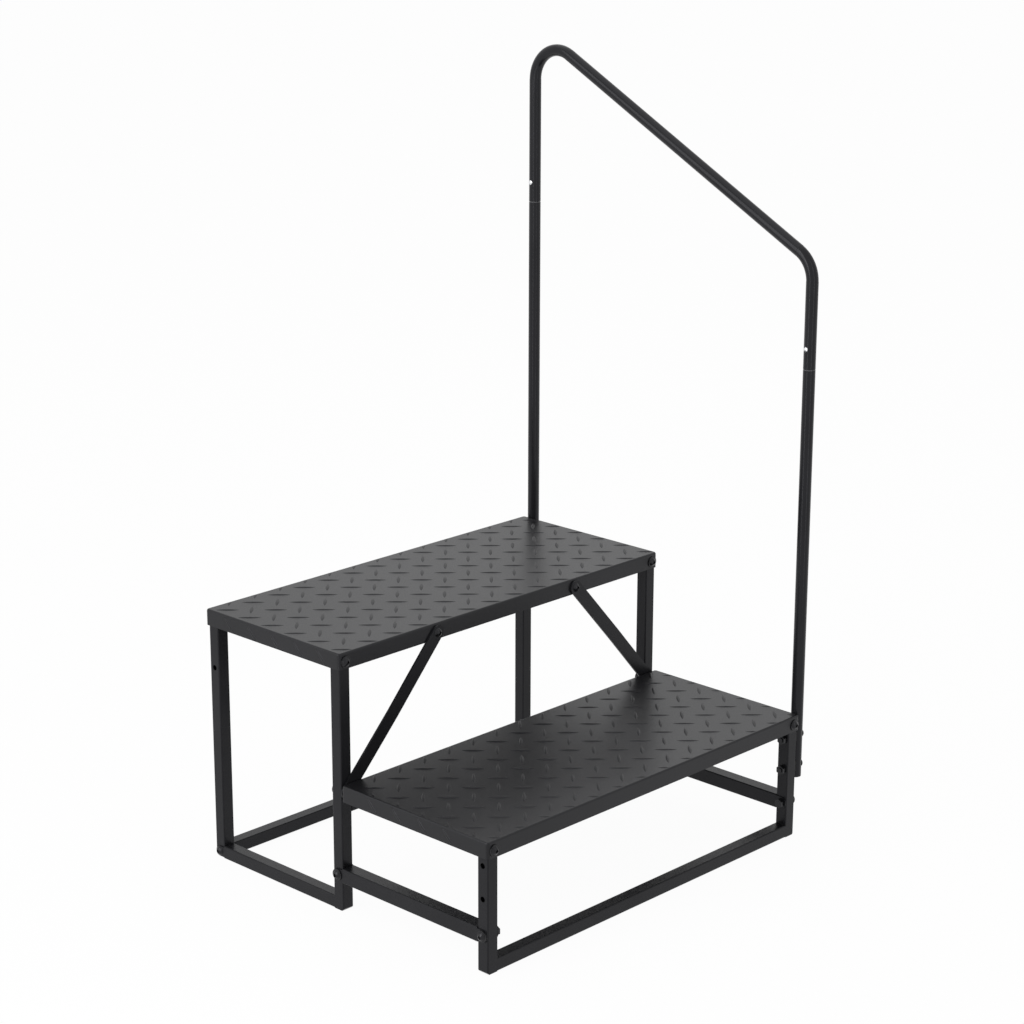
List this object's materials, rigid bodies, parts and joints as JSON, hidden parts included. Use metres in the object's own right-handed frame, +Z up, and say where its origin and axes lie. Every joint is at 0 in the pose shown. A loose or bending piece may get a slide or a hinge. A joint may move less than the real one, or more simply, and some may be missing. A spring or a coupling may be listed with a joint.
{
  "type": "two-step caravan entry step with handrail",
  "caption": "Free-standing caravan entry step with chequered folded treads on a bolted square-tube frame, flat braces and a bent round handrail on the right.",
  "frame": {"origin": "middle of the front floor bar's underside, on the ground", "axes": "+Z up, +Y towards the back, where the caravan stands, +X to the right, where the handrail is"},
  "size_m": [0.718, 0.6035, 1.1887],
  "materials": {
    "black_powder_coat": "satin textured powder coat",
    "tread_powder_coat": "satin powder coat on checker plate",
    "black_plastic": "matte",
    "black_zinc": "semi-gloss black zinc",
    "bright_zinc": "bright zinc plate"
  },
  "bodies": {
    "root": {"upper_tread": "tread_powder_coat", "lower_tread": "tread_powder_coat", "rear_frame": "black_powder_coat", "left_side_frame": "black_powder_coat", "right_side_frame": "black_powder_coat", "front_frame": "black_powder_coat", "left_step_rail": "black_powder_coat", "right_step_rail": "black_powder_coat", "cross_bar": "black_powder_coat", "left_brace": "black_powder_coat", "right_brace": "black_powder_coat", "handrail_top": "black_powder_coat", "handrail_rear_post": "black_powder_coat", "handrail_front_post": "black_powder_coat", "post_end_plugs": "black_plastic", "handrail_saddles": "black_plastic", "locking_buttons": "bright_zinc", "tread_bolts": "black_zinc", "tread_washers": "black_zinc", "tread_nuts": "black_zinc", "brace_bolts": "black_zinc", "brace_nuts": "black_zinc", "step_rail_bolts": "black_zinc", "step_rail_washers": "black_zinc", "step_rail_nuts": "black_zinc", "foot_bolts": "black_zinc", "foot_nuts": "bright_zinc", "cross_bar_screws": "black_zinc", "handrail_bolts": "black_zinc", "handrail_nuts": "black_zinc"}
  },
  "joints": []
}
